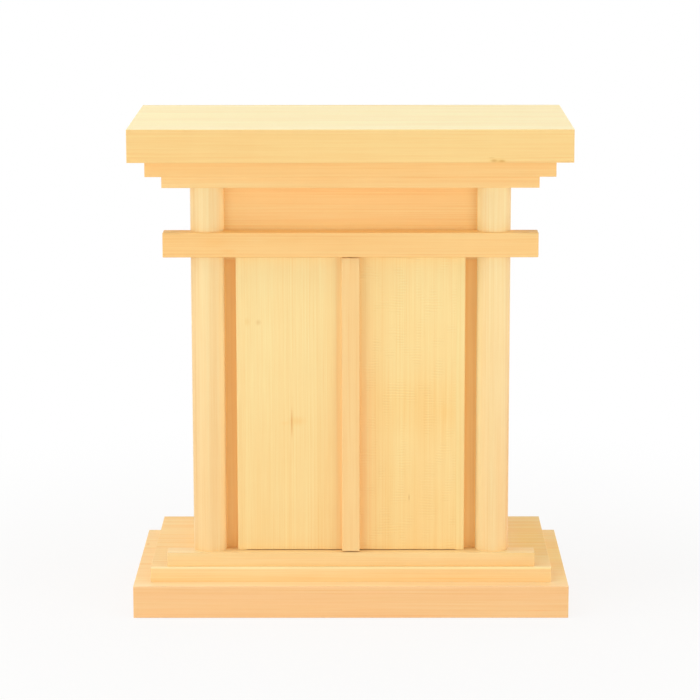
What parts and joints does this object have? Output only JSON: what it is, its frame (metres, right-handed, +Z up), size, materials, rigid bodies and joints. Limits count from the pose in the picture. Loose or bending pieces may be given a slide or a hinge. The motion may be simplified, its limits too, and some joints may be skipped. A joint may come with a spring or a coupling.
{
  "type": "shinto ancestral shrine",
  "caption": "Household ancestral shrine in plain cypress: a flat-roofed cabinet on a stepped base, with half-round posts, a crossbar and a pair of pivot-hung doors.",
  "frame": {"origin": "on the floor under the middle of the base", "axes": "+X to the right seen from the front, +Y to the back, +Z up"},
  "size_m": [0.394, 0.202, 0.444],
  "materials": {
    "roof": "matte",
    "members": "matte",
    "cabinet": "matte",
    "doors": "matte",
    "base": "matte"
  },
  "bodies": {
    "cabinet": {"roof_slab": "roof", "eave_board_upper": "roof", "eave_board_lower": "roof", "post_left": "members", "post_right": "members", "crossbar": "members", "sill": "members", "jamb_left": "cabinet", "jamb_right": "cabinet", "transom_panel": "cabinet", "side_wall_left": "cabinet", "side_wall_right": "cabinet", "back_panel": "cabinet", "floor_board": "cabinet", "base_slab": "base", "base_tier": "base"},
    "door_left": {"door_left_leaf": "doors", "door_left_pivot_stile": "doors", "door_meeting_batten": "doors"},
    "door_right": {"door_right_leaf": "doors", "door_right_pivot_stile": "doors"}
  },
  "joints": [
    {"name": "door_left_swing", "type": "hinge", "parent": "cabinet", "child": "door_left", "pos_m": [-0.099, -0.067, 0.1915], "axis": [0, 0, -1], "range_deg": [0, 95]},
    {"name": "door_right_swing", "type": "hinge", "parent": "cabinet", "child": "door_right", "pos_m": [0.099, -0.067, 0.1915], "axis": [0, 0, 1], "range_deg": [0, 95]}
  ],
  "couplings": [
    {"joint": "door_right_swing", "follows": "door_left_swing", "ratio": 1}
  ]
}
